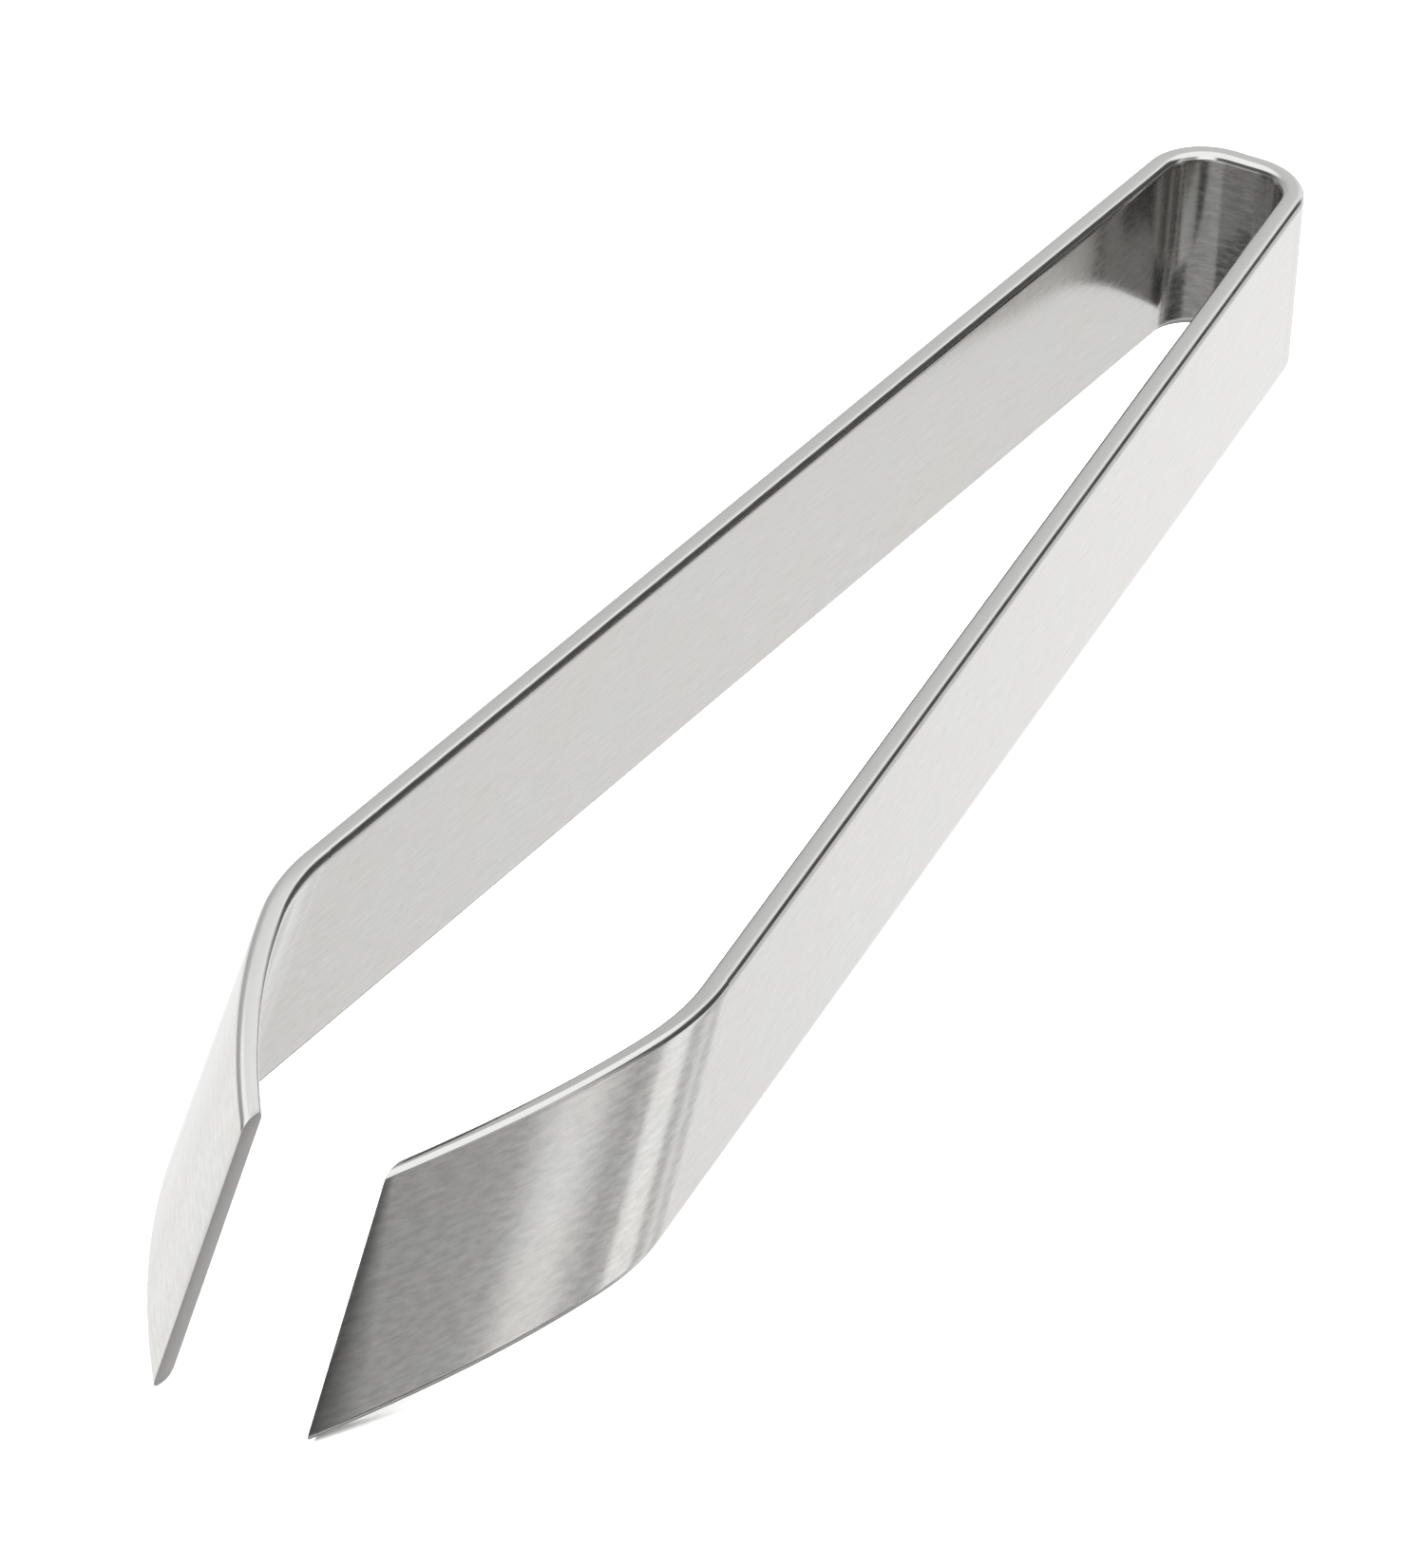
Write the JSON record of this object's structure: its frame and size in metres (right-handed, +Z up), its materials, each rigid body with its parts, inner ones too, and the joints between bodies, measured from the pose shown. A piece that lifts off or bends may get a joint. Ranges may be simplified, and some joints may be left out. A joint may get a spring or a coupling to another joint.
{
  "type": "stamp tongs",
  "caption": "Spring-steel tongs bent from one strip, with wide slanted tips that meet flat when the arms are squeezed.",
  "frame": {"origin": "on the supporting plane, under the middle of the object's box", "axes": "+X from the bow towards the tips, +Y towards the right arm, +Z up across the strip's width"},
  "size_m": [0.119, 0.0256, 0.0133],
  "materials": {
    "strip_steel": "satin, brushed along the strip, polished edges",
    "jaw_steel": "satin, brushed along the strip, ground tip faces"
  },
  "bodies": {
    "bow": {"spring_bow": "strip_steel"},
    "right_side": {"right_arm": "strip_steel", "right_jaw": "jaw_steel"},
    "left_side": {"left_arm": "strip_steel", "left_jaw": "jaw_steel"}
  },
  "joints": [
    {"name": "right_arm_flex", "type": "hinge", "parent": "bow", "child": "right_side", "pos_m": [-0.04394, 0.00506, 0.00758], "axis": [0, 0, -1], "range_deg": [-2, 2.38], "stiffness_Nm_per_rad": 8},
    {"name": "left_arm_flex", "type": "hinge", "parent": "bow", "child": "left_side", "pos_m": [-0.04394, -0.00506, 0.00758], "axis": [0, 0, 1], "range_deg": [-2, 2.38], "stiffness_Nm_per_rad": 8}
  ],
  "couplings": [
    {"joint": "left_arm_flex", "follows": "right_arm_flex", "ratio": 1}
  ]
}
